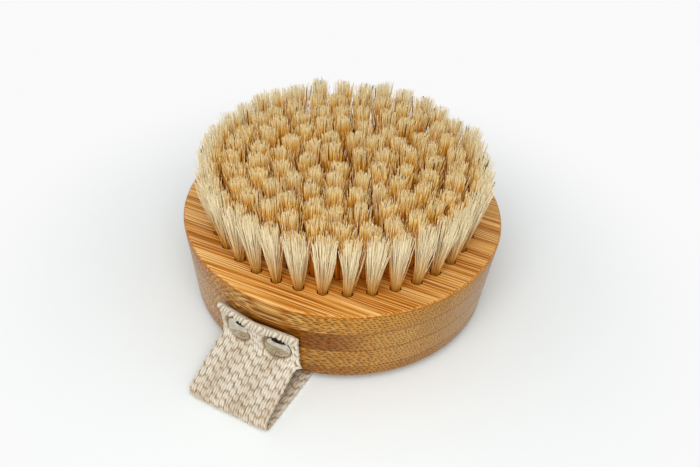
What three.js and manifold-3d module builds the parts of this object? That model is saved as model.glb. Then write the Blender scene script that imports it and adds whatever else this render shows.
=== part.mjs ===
// A round bath brush lying on its back: a laminated bamboo body drilled with rings of bristle tufts, and
// a webbing hand strap nailed to the body's wall at both ends, with most of its slack folded out in front.
// Millimetres, +Z up. The origin is on the floor under the middle of the strap, which runs along Y.

import * as THREE from 'three';
import { mergeGeometries, mergeVertices } from 'three/addons/utils/BufferGeometryUtils.js';
import Module from 'manifold-3d';

const wasm = await Module();
wasm.setup();

const degrees = THREE.MathUtils.degToRad;

// Fits
const FIT_GAP = 0.3;
const STRAND_GAP = 0.1;
const WELD = 1e-5;

// Bamboo body, widest at the rim round the bristles
const RIM_RADIUS = 57.5;
const WALL_TAPER = degrees(6.5);
const RIM_CHAMFER = 0.8;
const BACK_ROUND = 3;
const BACK_ROUND_STEPS = 4;
const FACE_PLY = 8.9;
const CORE_PLY = 8.7;
const BACK_PLY = 6.3;
const STRIP_WIDTH = 21;
const BODY_SIDES = 48;

// Bristle tufts, in rings that lean out more towards the rim
const RIM_MARGIN = 11.1;
const RING_SPACING = 8.15;
const TUFT_PITCH = 8.05;
const RING_START = degrees(-59.2);
const RING_TWIST = degrees(-3.7);
const HOLE_RADIUS = 1.75;
const HOLE_SIDES = 6;
const SEAT = 2;
const BRISTLE_HEIGHT = 23;
const OUTER_LEAN = degrees(5);
const TIP_GAP = 1.1;
const STRANDS = 3;
const STRAND_SIDES = 3;

// Hand strap, with its ends measured up and down from their nails
const STRAP_WIDTH = 30.5;
const STRAP_THICKNESS = 2.4;
const TAB_RISE = 7.2;
const TAB_DROP = 5.7;
const BEND_RADIUS = 3.5;
const FOLD_INSIDE = 0.9;
const FRONT_REACH = 21.5;
const REAR_REACH = 6;
const STRAP_STRIPES = 6;
const ARC_STEPS = 7;

// Dome-headed nails, two at each end of the strap, with their depth below the bristle face
const NAIL_DEPTH = 18.3;
const NAIL_SPACING = 15.4;
const NAIL_PRESS = 1;
const HEAD_RADIUS = 4.65;
const HEAD_RISE = 1.5;
const HEAD_STEPS = 3;
const SHANK_RADIUS = 0.9;
const SHANK_LENGTH = 18;
const POINT_LENGTH = 3;
const NAIL_SIDES = 16;

// Heights of the plies, from the floor up
const BACK_Z = STRAP_THICKNESS + FIT_GAP;
const LOWER_CORE_Z = BACK_Z + BACK_PLY;
const UPPER_CORE_Z = LOWER_CORE_Z + CORE_PLY;
const FACE_PLY_Z = UPPER_CORE_Z + CORE_PLY;
const FACE_Z = FACE_PLY_Z + FACE_PLY;
const SEAT_Z = FACE_PLY_Z + SEAT;
const TIP_Z = FACE_Z + BRISTLE_HEIGHT;

// Materials
const bamboo = new THREE.MeshStandardMaterial({ color: 0xc98e4e, roughness: 0.5, metalness: 0 });
const bambooCore = new THREE.MeshStandardMaterial({ color: 0xb58a5c, roughness: 0.55, metalness: 0 });
const bristle = new THREE.MeshStandardMaterial({ color: 0xd8bd84, roughness: 0.6, metalness: 0 });
const webbing = new THREE.MeshStandardMaterial({ color: 0xd3c6b4, roughness: 0.95, metalness: 0 });
const steel = new THREE.MeshStandardMaterial({ color: 0xc9c9c6, roughness: 0.2, metalness: 1 });

// Solids and cuts

// Turns a closed geometry into a solid that can be joined and cut.
function solid(geometry) {
  const plain = geometry.clone();
  plain.deleteAttribute('normal');
  plain.deleteAttribute('uv');
  const welded = mergeVertices(plain, WELD);
  const faces = Array.from(welded.index.array);
  const kept = [];
  for (let i = 0; i < faces.length; i += 3) {
    const [a, b, c] = faces.slice(i, i + 3);
    if (a !== b && b !== c && c !== a) {
      kept.push(a, b, c);
    }
  }
  const vertProperties = welded.attributes.position.array;
  return new wasm.Manifold(new wasm.Mesh({ numProp: 3, vertProperties, triVerts: new Uint32Array(kept) }));
}

function geometryOf(body) {
  const mesh = body.getMesh();
  const geometry = new THREE.BufferGeometry();
  geometry.setAttribute('position', new THREE.BufferAttribute(mesh.vertProperties, 3));
  geometry.setIndex(new THREE.BufferAttribute(mesh.triVerts, 1));
  geometry.computeVertexNormals();
  return geometry;
}

function cut(body, cutters) {
  return cutters.reduce((left, cutter) => left.subtract(cutter), body);
}

// Revolves [radius, height] points about Z.
function lathe(points, sides) {
  const profile = points.map(([radius, height]) => new THREE.Vector2(radius, height));
  return new THREE.LatheGeometry(profile, sides).rotateX(Math.PI / 2);
}

function named(name, geometry, material) {
  const mesh = new THREE.Mesh(geometry, material);
  mesh.name = name;
  return mesh;
}

// Bamboo body

function wallRadius(z) {
  return RIM_RADIUS - (FACE_Z - z) * Math.tan(WALL_TAPER);
}

// The holes drilled for the tufts, from the seat of the roots to above the face.
function tuftHoles(tufts) {
  const length = FACE_Z - SEAT_Z + 2 * FIT_GAP;
  const drills = tufts.map(({ x, y }) => {
    const drill = new THREE.CylinderGeometry(HOLE_RADIUS, HOLE_RADIUS, length, HOLE_SIDES);
    return drill.rotateX(Math.PI / 2).translate(x, y, (FACE_Z + SEAT_Z) / 2 + FIT_GAP);
  });
  return solid(mergeGeometries(drills));
}

// The ply that the bristles stand in, hollowed below for the slices that hold their roots.
function facePly(rings, pilots) {
  const hollow = rings[0].radius + RING_SPACING / 2 + FIT_GAP;
  const blank = lathe([
    [0, SEAT_Z + FIT_GAP],
    [hollow, SEAT_Z + FIT_GAP],
    [hollow, FACE_PLY_Z],
    [wallRadius(FACE_PLY_Z), FACE_PLY_Z],
    [wallRadius(FACE_Z - RIM_CHAMFER), FACE_Z - RIM_CHAMFER],
    [RIM_RADIUS - RIM_CHAMFER, FACE_Z],
    [0, FACE_Z],
  ], BODY_SIDES);
  const drilled = cut(solid(blank), [tuftHoles(rings.flatMap(tuftsOf)), ...pilots]);
  return named('bamboo_face_ply', geometryOf(drilled), bamboo);
}

function corePly(bottom, pilots) {
  const top = bottom + CORE_PLY;
  const section = [[0, bottom], [wallRadius(bottom), bottom], [wallRadius(top), top], [0, top]];
  return cut(solid(lathe(section, BODY_SIDES)), pilots);
}

// Saws a ply into strips along X. An even count has a seam in the middle, and an odd one a strip.
function strips(name, ply, count) {
  const far = 2 * RIM_RADIUS;
  return Array.from({ length: count }, (_, i) => {
    const low = i > 0 ? (i - count / 2) * STRIP_WIDTH : -far;
    const high = i < count - 1 ? (i + 1 - count / 2) * STRIP_WIDTH : far;
    const slab = new THREE.BoxGeometry(2 * far, high - low, 2 * FACE_Z);
    slab.translate(0, (low + high) / 2, FACE_Z / 2);
    return named(`${name}_strip_${i + 1}`, geometryOf(ply.intersect(solid(slab))), bambooCore);
  });
}

// How many strips lie across the body, to the nearest odd or even count.
function stripCount(odd) {
  return 2 * Math.round(RIM_RADIUS / STRIP_WIDTH - odd / 2) + odd;
}

function backPly() {
  const round = Math.min(BACK_ROUND, BACK_PLY - FIT_GAP);
  const edge = wallRadius(BACK_Z + round) - round;
  const corner = [];
  for (let i = 0; i <= BACK_ROUND_STEPS; i += 1) {
    const turn = (i / BACK_ROUND_STEPS) * (Math.PI / 2);
    corner.push([edge + round * Math.sin(turn), BACK_Z + round * (1 - Math.cos(turn))]);
  }
  const profile = [[0, BACK_Z], ...corner, [wallRadius(LOWER_CORE_Z), LOWER_CORE_Z], [0, LOWER_CORE_Z]];
  return named('bamboo_back_ply', lathe(profile, BODY_SIDES), bamboo);
}

// Bristles

function tuftRings() {
  const rings = [];
  const outer = RIM_RADIUS - RIM_MARGIN;
  for (let radius = outer; radius > TUFT_PITCH / 2; radius -= RING_SPACING) {
    const count = Math.floor(Math.PI / Math.asin(TUFT_PITCH / 2 / radius));
    const start = RING_START + RING_TWIST * rings.length;
    rings.push({ radius, count, start, lean: OUTER_LEAN * (radius / outer) ** 2 });
  }
  return rings;
}

function tuftsOf(ring) {
  return Array.from({ length: ring.count }, (_, i) => {
    const angle = ring.start + (i / ring.count) * 2 * Math.PI;
    const outward = new THREE.Vector2(Math.cos(angle), Math.sin(angle));
    const shift = outward.clone().multiplyScalar(BRISTLE_HEIGHT * Math.tan(ring.lean));
    return { x: ring.radius * outward.x, y: ring.radius * outward.y, shift, angle };
  });
}

// Strands side by side round a tuft's axis, within a radius and a gap apart.
function bundle(radius, gap) {
  const half = Math.sin(Math.PI / STRANDS);
  const strand = (radius * half - gap / 2) / (1 + half);
  return { strand, offset: radius - strand };
}

// A tuft's strands run straight up their hole, then flare and lean to the level where they are trimmed.
function tuftStrands(tuft) {
  const root = bundle(HOLE_RADIUS * Math.cos(Math.PI / HOLE_SIDES) - FIT_GAP, STRAND_GAP);
  const tip = bundle((Math.min(TUFT_PITCH, RING_SPACING) - TIP_GAP) / 2, TIP_GAP / 2);
  const still = new THREE.Vector2();
  const levels = [
    { ...root, shift: still, z: SEAT_Z - SEAT / 2 },
    { ...root, shift: still, z: FACE_Z },
    { ...tip, shift: tuft.shift, z: TIP_Z },
  ];
  return Array.from({ length: STRANDS }, (_, i) => {
    const turn = tuft.angle + (i / STRANDS) * 2 * Math.PI;
    const rows = levels.map((level) => strandRow(tuft, level, turn));
    return prism(rows);
  });
}

// The corners of one strand at one level.
function strandRow(tuft, level, turn) {
  const x = tuft.x + level.shift.x + level.offset * Math.cos(turn);
  const y = tuft.y + level.shift.y + level.offset * Math.sin(turn);
  return Array.from({ length: STRAND_SIDES }, (_, i) => {
    const corner = turn + (i / STRAND_SIDES) * 2 * Math.PI;
    return [x + level.strand * Math.cos(corner), y + level.strand * Math.sin(corner), level.z];
  });
}

// A closed body through rows of corners, from the bottom up, with its ends filled from the first corner.
function prism(rows) {
  const sides = rows[0].length;
  const last = (rows.length - 1) * sides;
  const faces = walls(rows);
  for (let i = 1; i < sides - 1; i += 1) {
    faces.push(0, i + 1, i, last, last + i, last + i + 1);
  }
  return indexed(rows.flat(), faces);
}

// The faces between each row of corners and the next.
function walls(rows) {
  const sides = rows[0].length;
  const faces = [];
  for (let row = 0; row < rows.length - 1; row += 1) {
    for (let i = 0; i < sides; i += 1) {
      const a = row * sides + i;
      const b = row * sides + ((i + 1) % sides);
      faces.push(a, b, b + sides, a, b + sides, a + sides);
    }
  }
  return faces;
}

function indexed(points, faces) {
  const geometry = new THREE.BufferGeometry();
  geometry.setAttribute('position', new THREE.Float32BufferAttribute(points.flat(), 3));
  geometry.setIndex(faces);
  return geometry;
}

// The bristles of some rings, rooted in a slice of wood under the drilled ply.
function bristles(name, rings, reachesAxis) {
  const outside = rings[0].radius + (RING_SPACING - FIT_GAP) / 2;
  const inside = reachesAxis ? 0 : rings.at(-1).radius - (RING_SPACING - FIT_GAP) / 2;
  const section = [[inside, FACE_PLY_Z], [outside, FACE_PLY_Z], [outside, SEAT_Z], [inside, SEAT_Z]];
  const slice = lathe(reachesAxis ? section : [...section, section[0]], BODY_SIDES);
  const strands = mergeGeometries(rings.flatMap(tuftsOf).flatMap(tuftStrands));
  return named(name, geometryOf(solid(slice).add(solid(strands))), bristle);
}

// Hand strap, shaped at the front and turned half round for the rear

// A point on the wall in front, at a depth below the face and a height off the wood.
function offWall(depth, height) {
  const radius = wallRadius(FACE_Z - depth) + height * Math.cos(WALL_TAPER);
  return new THREE.Vector2(radius, FACE_Z - depth - height * Math.sin(WALL_TAPER));
}

// The middle of the webbing as [distance from the axis, height] points: the end nailed to the wall with
// the leaf that slopes out from it, then the fold on the floor with the leaf that runs back underneath.
function strapSide(reach) {
  const half = STRAP_THICKNESS / 2;
  const top = offWall(NAIL_DEPTH - TAB_RISE, FIT_GAP + half);
  const leave = offWall(NAIL_DEPTH + TAB_DROP, FIT_GAP + half);
  const foldRadius = FOLD_INSIDE + half;
  const fold = new THREE.Vector2(RIM_RADIUS + reach - half - foldRadius, half + foldRadius);
  const toFold = fold.clone().sub(leave);
  const wallAngle = -Math.PI / 2 - WALL_TAPER;
  const leafAngle = Math.atan2(toFold.y, toFold.x) + Math.asin(foldRadius / toFold.length());
  const turn = leafAngle - wallAngle;
  const bendStart = leave.clone().sub(polar(BEND_RADIUS * Math.tan(turn / 2), wallAngle));
  const bend = bendStart.add(polar(BEND_RADIUS, wallAngle + Math.PI / 2));
  const touch = fold.clone().add(polar(foldRadius, leafAngle + Math.PI / 2));
  const leafEnd = touch.clone().sub(polar(FIT_GAP, leafAngle));
  return {
    upper: [top, ...arc(bend, BEND_RADIUS, wallAngle - Math.PI / 2, leafAngle - Math.PI / 2), leafEnd],
    lower: arc(fold, foldRadius, leafAngle + Math.PI / 2, -Math.PI / 2),
  };
}

function arc(centre, radius, from, to) {
  return Array.from({ length: ARC_STEPS + 1 }, (_, i) => {
    return polar(radius, THREE.MathUtils.lerp(from, to, i / ARC_STEPS)).add(centre);
  });
}

function polar(length, angle) {
  return new THREE.Vector2(length * Math.cos(angle), length * Math.sin(angle));
}

// The way across the webbing's thickness at each point of its middle.
function normals(points) {
  return points.map((point, i) => {
    const before = i > 0 ? point.clone().sub(points[i - 1]).normalize() : new THREE.Vector2();
    const after = i < points.length - 1 ? points[i + 1].clone().sub(point).normalize() : new THREE.Vector2();
    const along = before.add(after).normalize();
    return new THREE.Vector2(-along.y, along.x);
  });
}

// A closed band of webbing along points of its middle. Where hug is 1, it bends round the wall.
function band(points, hugs) {
  const across = normals(points);
  const stripes = Array.from({ length: STRAP_STRIPES + 1 }, (_, i) => {
    return (i / STRAP_STRIPES - 0.5) * STRAP_WIDTH;
  });
  const rows = points.map((point, i) => {
    const drop = (x) => hugs[i] * (point.x - Math.sqrt(point.x ** 2 - x ** 2));
    const under = point.clone().addScaledVector(across[i], -STRAP_THICKNESS / 2);
    const over = point.clone().addScaledVector(across[i], STRAP_THICKNESS / 2);
    const underRow = stripes.map((x) => [x, drop(x) - under.x, under.y]);
    const overRow = stripes.map((x) => [x, drop(x) - over.x, over.y]);
    return [...underRow, ...overRow.reverse()];
  });
  const sides = rows[0].length;
  const last = (rows.length - 1) * sides;
  const faces = walls(rows);
  for (let i = 0; i < STRAP_STRIPES; i += 1) {
    const above = sides - 1 - i;
    faces.push(i, above - 1, i + 1, i, above, above - 1);
    faces.push(last + i, last + i + 1, last + above - 1, last + i, last + above - 1, last + above);
  }
  return indexed(rows.flat(), faces);
}

// An end of the strap with the holes that its nails make.
function strapEnd(name, reach, pilots) {
  const { upper } = strapSide(reach);
  const hugs = upper.map((_, i) => (i < upper.length - 1 ? 1 : 0));
  return named(name, geometryOf(cut(solid(band(upper, hugs)), pilots)), webbing);
}

// The stretch on the floor, with the fold at each end.
function strapRun() {
  const front = strapSide(FRONT_REACH).lower;
  const rear = strapSide(REAR_REACH).lower;
  const points = [...front, ...rear.reverse().map(({ x, y }) => new THREE.Vector2(-x, y))];
  return named('strap_run', band(points, points.map(() => 0)), webbing);
}

// Nails

// A nail's axis is square to the wall, and its head is pressed into the webbing.
function nailPlace(side) {
  const seat = offWall(NAIL_DEPTH, STRAP_THICKNESS - NAIL_PRESS + 2 * FIT_GAP);
  const turn = Math.asin((side * NAIL_SPACING) / 2 / seat.x);
  const place = new THREE.Object3D();
  place.position.set(seat.x * Math.sin(turn), -seat.x * Math.cos(turn), seat.y);
  place.rotation.set(Math.PI / 2 + WALL_TAPER, 0, turn, 'ZYX');
  place.updateMatrix();
  return place;
}

function nail(name, place) {
  const ball = (HEAD_RADIUS ** 2 + HEAD_RISE ** 2) / (2 * HEAD_RISE);
  const spread = Math.asin(HEAD_RADIUS / ball);
  const dome = Array.from({ length: HEAD_STEPS + 1 }, (_, i) => {
    const turn = spread * (1 - i / HEAD_STEPS);
    return [ball * Math.sin(turn), ball * Math.cos(turn) - ball + HEAD_RISE];
  });
  dome[0] = [HEAD_RADIUS, 0];
  const profile = [
    [0, -SHANK_LENGTH],
    [SHANK_RADIUS, POINT_LENGTH - SHANK_LENGTH],
    [SHANK_RADIUS, 0],
    ...dome,
  ];
  const mesh = named(name, lathe(profile, NAIL_SIDES), steel);
  mesh.position.copy(place.position);
  mesh.rotation.copy(place.rotation);
  return mesh;
}

// The hole that a nail makes through the webbing and into the wood, with room all round.
function pilot(place, turn) {
  const length = SHANK_LENGTH + FIT_GAP;
  const hole = drill(SHANK_RADIUS, length, NAIL_SIDES).translate(0, 0, -length / 2);
  const dimple = drill(HEAD_RADIUS, HEAD_RISE + FIT_GAP, NAIL_SIDES);
  dimple.translate(0, 0, (HEAD_RISE - FIT_GAP) / 2);
  const cutters = [hole, dimple].map((cutter) => solid(cutter.applyMatrix4(place.matrix).rotateZ(turn)));
  return cutters[0].add(cutters[1]);
}

// A cutter along Z that leaves room round a bar of the given radius.
function drill(radius, length, sides) {
  const clear = (radius + FIT_GAP) / Math.cos(Math.PI / sides);
  return new THREE.CylinderGeometry(clear, clear, length, sides).rotateX(Math.PI / 2);
}

// The assembly

const rings = tuftRings();
const places = { left: nailPlace(-1), right: nailPlace(1) };
const pilots = Object.values(places).map((place) => pilot(place, 0));
const rearPilots = Object.values(places).map((place) => pilot(place, Math.PI));
const allPilots = [...pilots, ...rearPilots];

const body = new THREE.Group();
body.add(facePly(rings, allPilots));
body.add(...strips('upper_core', corePly(UPPER_CORE_Z, allPilots), stripCount(1)));
body.add(...strips('lower_core', corePly(LOWER_CORE_Z, allPilots), stripCount(0)));
body.add(backPly());

const tufts = new THREE.Group();
tufts.add(bristles('outer_ring_bristles', rings.slice(0, 1), false));
tufts.add(bristles('second_ring_bristles', rings.slice(1, 2), false));
tufts.add(bristles('third_ring_bristles', rings.slice(2, 3), false));
tufts.add(bristles('centre_bristles', rings.slice(3), true));

const front = new THREE.Group();
const rear = new THREE.Group();
rear.rotation.z = Math.PI;
front.add(strapEnd('strap_front_end', FRONT_REACH, pilots));
rear.add(strapEnd('strap_rear_end', REAR_REACH, pilots));
for (const [side, place] of Object.entries(places)) {
  front.add(nail(`front_${side}_nail`, place));
  rear.add(nail(`rear_${side}_nail`, place));
}

const brush = new THREE.Group();
brush.add(body, tufts, front, rear, strapRun());

export default brush;
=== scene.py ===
"""A round bamboo bath brush on its back, with rings of bristle tufts and a folded webbing hand strap."""

import math

import bpy
import numpy as np
from mathutils import Matrix, Vector
from mathutils.geometry import delaunay_2d_cdt


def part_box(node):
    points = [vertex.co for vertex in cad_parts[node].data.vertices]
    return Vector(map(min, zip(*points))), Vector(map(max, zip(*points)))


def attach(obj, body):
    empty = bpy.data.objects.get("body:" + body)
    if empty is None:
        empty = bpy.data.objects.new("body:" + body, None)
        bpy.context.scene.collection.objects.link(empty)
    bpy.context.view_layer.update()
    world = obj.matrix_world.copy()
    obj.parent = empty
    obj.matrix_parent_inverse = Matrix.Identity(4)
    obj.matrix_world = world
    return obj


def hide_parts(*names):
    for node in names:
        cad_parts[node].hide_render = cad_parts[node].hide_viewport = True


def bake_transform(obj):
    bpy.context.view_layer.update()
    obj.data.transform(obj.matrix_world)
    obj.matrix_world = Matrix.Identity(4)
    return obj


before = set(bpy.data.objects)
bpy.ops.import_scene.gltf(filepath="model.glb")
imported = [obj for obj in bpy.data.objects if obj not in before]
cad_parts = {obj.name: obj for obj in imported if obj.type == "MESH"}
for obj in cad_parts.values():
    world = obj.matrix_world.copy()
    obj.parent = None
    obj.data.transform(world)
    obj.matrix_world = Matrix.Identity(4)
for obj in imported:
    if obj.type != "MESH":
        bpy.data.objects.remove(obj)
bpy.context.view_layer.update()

MM = 0.001
TURN = 2 * math.pi


def node_heights(node):
    """The lowest and highest z of a solid of the frame, in millimetres."""
    low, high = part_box(node)
    return low.z / MM, high.z / MM


# Bamboo body, in millimetres, with its heights read from the frame
RIM_RADIUS = 57.5
WALL_TAPER = math.radians(6.5)
RIM_CHAMFER = 0.8
BACK_ROUND = 3.0
EDGE_EASE = 0.1
STRIP_WIDTH = 21.0
GRAIN_SLANT = math.radians(-4)
BODY_SIDES = 240
FACE_PLY_Z, FACE_Z = node_heights("bamboo_face_ply")
UPPER_CORE_Z = node_heights("upper_core_strip_1")[0]
LOWER_CORE_Z = node_heights("lower_core_strip_1")[0]
BACK_Z = node_heights("bamboo_back_ply")[0]
TIP_Z = node_heights("outer_ring_bristles")[1]

# Colours of bamboo
DARK_STREAK = (0.40, 0.125, 0.01)
PALE_STREAK = (0.98, 0.72, 0.38)
BUNDLE = (0.17, 0.05, 0.005)
RIM_LINE = (0.40, 0.12, 0.01)
SEAM_LINE = (0.24, 0.10, 0.025)
GLUE_LINE = (0.16, 0.06, 0.012)
# Darker wall: partly the cut edges' own colour, partly painted shade on the side
WALL_TINT_AND_SHADE = (0.62, 0.60, 0.50)
# Painted shade low on the wall, on the back ply near the floor
BACK_SHADE = (0.80, 0.72, 0.6)
# Painted shade on the face among the bristle tufts
SHADE_UNDER_BRISTLES = (0.92, 0.74, 0.45)

# Tones of the core strips, from the front to the back
UPPER_TONES = [
    (0.46, 0.27, 0.035),
    (0.95, 0.93, 0.9),
    (1.0, 1.0, 1.0),
    (0.9, 0.9, 0.88),
    (0.97, 0.95, 0.93),
]
LOWER_TONES = [
    (0.87, 0.82, 0.68),
    (1.0, 1.0, 1.0),
    (0.9, 0.88, 0.85),
    (0.97, 0.97, 0.97),
    (0.92, 0.92, 0.92),
    (1.0, 0.98, 0.95),
]

# Bristle tufts
RIM_MARGIN = 11.1
RING_SPACING = 8.15
TUFT_PITCH = 8.05
RING_START = math.radians(-59.2)
RING_TWIST = math.radians(-3.7)
OUTER_LEAN = math.radians(4.6)
HOLE_RADIUS = 1.75
HOLE_SIDES = 20
HOLE_EASE = 0.22
SEAT = 2.0
ROOT_LIFT = 0.4
TUFT_BRISTLES = 170
BRISTLE_RADIUS = 0.12
BRISTLE_TAPER = (1.0, 1.0, 1.0, 0.9, 0.7)
BRISTLE_LEVELS = (0.0, 0.3, 0.65, 1.0)
GOLDEN_TURN = 0.381966
ROOT_SPREAD = 1.48
TIP_SPREAD = 2.55
OUTER_SPREAD = 0.9
TUFT_SWAY = 0.024
TUFT_BOW = 0.25
BRISTLE_BOW = 0.45
TUFT_TRIM = (-1.1, 0.4)
BRISTLE_TRIM = 0.35
STRAY_SHARE = 0.34
STRAY_REACH = (0.9, 1.9)
STRAY_TRIM = (0.3, 5)
STRAY_BOW = 3
FAIREST_TUFT = 0.5
BLEACHED_RADII = (44.3, 48.4)
DARK_SHARE = 0.013
DARK_GIRTH = 1.6
DARK_SHADE = 0.008

# Hand strap
STRAP_WIDTH = 30.5
STRAP_THICKNESS = 2.4
FIT_GAP = 0.3
TAB_RISE = 7.2
TAB_DROP = 5.7
TAB_TILT = 0.055
BEND_RADIUS = 3.5
FOLD_INSIDE = 0.9
FRONT_REACH = 21.5
REAR_REACH = 6.0
YARN_PITCH = 1.9
FLOAT_PITCH = 3.8
YARN_RELIEF = 0.8
YARN_FLOOR = 0.12
HEM_MIDDLE = 1.3
HEM_OUTSIDE = 1.35
HEM_INSIDE = 1.7
HEM_END = (2.6, 3.1)
HEM_RISE = 1.1
HEM_STITCH = 1.4
SNAG_PLACE = 13.5
SNAG_WIDTH = 1.1
SNAG_REACH = 1.7
STRAP_STEP = 0.55
OUTER_COLUMNS = 161
INNER_COLUMNS = 81

# Dome-headed nails
NAIL_DEPTH = 18.3
NAIL_SPACING = 15.4
NAIL_PRESS = 1.0
HEAD_RADIUS = 4.65
HEAD_RISE = 1.5
SHANK_RADIUS = 0.9
SHANK_LENGTH = 18.0
POINT_LENGTH = 3.0
NAIL_SIDES = 40

# Camera, looking at the middle of the bristle face
VIEW_AZIMUTH = math.radians(27.5)
VIEW_ELEVATION = math.radians(37.49)
VIEW_DISTANCE = 329.2
VIEW_PITCH = math.radians(-1.71)
VIEW_YAW = math.radians(-0.5)
VIEW_ROLL = math.radians(-2.82)
LENS = 46.51
SENSOR_WIDTH = 36.0

# Studio
FLOOR_SPAN = 3000.0
FLOOR_FADE = (57, 150)
SKY_LIGHT = 0.46


class Value:
    """A socket of a node, with Python's operators as Math nodes."""

    def __init__(self, nodes, socket):
        self.nodes = nodes
        self.socket = socket

    def out(self, key):
        """Another output of the same node, by name or place."""
        return Value(self.nodes, self.socket.node.outputs[key])

    def math(self, operation, *values):
        return self.nodes.add("ShaderNodeMath", {"operation": operation}, (self, *values))

    def __add__(self, other):
        return self.math("ADD", other)

    __radd__ = __add__

    def __mul__(self, other):
        return self.math("MULTIPLY", other)

    __rmul__ = __mul__

    def __sub__(self, other):
        return self.math("SUBTRACT", other)

    def __rsub__(self, other):
        return self.nodes.add("ShaderNodeMath", {"operation": "SUBTRACT"}, (other, self))

    def __truediv__(self, other):
        return self.math("DIVIDE", other)

    def __abs__(self):
        return self.math("ABSOLUTE")

    def lowest(self, other):
        return self.math("MINIMUM", other)

    def highest(self, other):
        return self.math("MAXIMUM", other)

    def smooth(self, start, end):
        """0 at start, 1 at end, eased between them."""
        settings = {"interpolation_type": "SMOOTHSTEP"}
        return self.nodes.add("ShaderNodeMapRange", settings, (self, start, end))

    def parts(self):
        """The x, y and z of a vector."""
        split = self.nodes.add("ShaderNodeSeparateXYZ", None, (self,))
        return split, split.out("Y"), split.out("Z")


class Nodes:
    """The nodes of a material or a world. add() makes any node and returns its first output."""

    def __init__(self, owner):
        owner.use_nodes = True
        self.owner = owner
        self.tree = owner.node_tree
        self.tree.nodes.clear()

    def add(self, kind, settings=None, sockets=()):
        node = self.tree.nodes.new(kind)
        for key, value in (settings or {}).items():
            if key == "stops":
                self.set_stops(node.color_ramp.elements, value)
            else:
                setattr(node, key, value)
        items = sockets.items() if isinstance(sockets, dict) else enumerate(sockets)
        for key, value in items:
            if isinstance(value, Value):
                self.tree.links.new(value.socket, node.inputs[key])
            else:
                node.inputs[key].default_value = value
        return Value(self, node.outputs[0]) if node.outputs else None

    @staticmethod
    def set_stops(elements, stops):
        while len(elements) < len(stops):
            elements.new(1.0)
        for element, (position, colour) in zip(elements, stops):
            element.position = position
            element.color = (*colour, 1)

    def place(self):
        """Object coordinates in millimetres."""
        coordinates = self.add("ShaderNodeTexCoord").out("Object")
        return self.scaled(coordinates, (1 / MM, 1 / MM, 1 / MM))

    def scaled(self, vector, factors):
        return self.add("ShaderNodeVectorMath", {"operation": "MULTIPLY"}, (vector, factors))

    def moved(self, vector, step):
        return self.add("ShaderNodeVectorMath", {"operation": "ADD"}, (vector, step))

    def turned(self, vector, angle):
        """A vector turned about Z."""
        sockets = {"Vector": vector, "Rotation": (0, 0, angle)}
        return self.add("ShaderNodeMapping", {"vector_type": "POINT"}, sockets)

    def vector(self, x, y):
        """A flat vector from two values."""
        return self.add("ShaderNodeCombineXYZ", None, (x, y, 0.0))

    def flat_place(self):
        """The u and v of a piece's own layer."""
        return self.add("ShaderNodeUVMap", {"uv_map": "OFBake"}).parts()[:2]

    def noise(self, vector, detail=2.0):
        return self.add("ShaderNodeTexNoise", None, {"Vector": vector, "Scale": 1.0, "Detail": detail})

    def streaks(self, grain, length, width, detail=2.0):
        """Noise of a length along X and a width across it, in millimetres."""
        return self.noise(self.scaled(grain, (1 / length, 1 / width, 1 / width)), detail)

    def chance(self, number):
        """A random value for each whole number, with a random colour as another output."""
        return self.add("ShaderNodeTexWhiteNoise", {"noise_dimensions": "1D"}, {"W": number})

    def seen(self):
        """1 for rays from the camera, straight or mirrored, and 0 for those that only carry light."""
        rays = self.add("ShaderNodeLightPath")
        return rays.highest(rays.out("Is Glossy Ray")).highest(rays.out("Is Transmission Ray"))

    def ramp(self, factor, stops):
        return self.add("ShaderNodeValToRGB", {"stops": stops}, (factor,))

    def mix(self, factor, first, second, blend="MIX"):
        """Two colours mixed by a factor."""
        settings = {"data_type": "RGBA", "blend_type": blend}
        first = first if isinstance(first, Value) else (*first, 1)
        second = second if isinstance(second, Value) else (*second, 1)
        return self.add("ShaderNodeMix", settings, {0: factor, 6: first, 7: second}).out(2)

    def bump(self, height, strength, distance):
        """A normal from a height in units of a distance in millimetres."""
        sockets = {"Strength": strength, "Distance": distance * MM, "Height": height}
        return self.add("ShaderNodeBump", None, sockets)

    def shine(self, colour, roughness, normal, **constants):
        """Ends a material in one Principled shader."""
        sockets = {"Base Color": colour, "Roughness": roughness, "Normal": normal}
        sockets.update({key.replace("_", " "): value for key, value in constants.items()})
        shader = self.add("ShaderNodeBsdfPrincipled", None, sockets)
        self.add("ShaderNodeOutputMaterial", None, (shader,))
        return self.owner


def finish(name):
    """The nodes of a new material."""
    return Nodes(bpy.data.materials.new(name))


# Meshes

def make_piece(name, points, polygons, materials, uv=None, crease=40):
    """A piece from points in millimetres and arrays of polygon corners, each array of one corner count.

    uv has a place for each point. Edges that bend by more than crease degrees stay sharp.
    """
    points = np.asarray(points, float).reshape(-1, 3)
    corners = np.concatenate([faces.ravel() for faces in polygons])
    sizes = np.concatenate([np.full(len(faces), faces.shape[1]) for faces in polygons])
    mesh = bpy.data.meshes.new(name)
    mesh.vertices.add(len(points))
    mesh.vertices.foreach_set("co", (points * MM).astype(np.float32).ravel())
    mesh.loops.add(len(corners))
    mesh.loops.foreach_set("vertex_index", corners.astype(np.int32))
    mesh.polygons.add(len(sizes))
    mesh.polygons.foreach_set("loop_start", (np.cumsum(sizes) - sizes).astype(np.int32))
    if uv is not None:
        layer = mesh.uv_layers.new(name="OFBake")
        layer.uv.foreach_set("vector", np.asarray(uv, np.float32).reshape(-1, 2)[corners].ravel())
    mesh.update(calc_edges=True)
    mesh.polygons.foreach_set("use_smooth", np.ones(len(sizes), bool))
    mesh.set_sharp_from_angle(angle=math.radians(crease))
    for material in materials:
        mesh.materials.append(material)
    piece = bpy.data.objects.new(name, mesh)
    bpy.context.scene.collection.objects.link(piece)
    return piece


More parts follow.
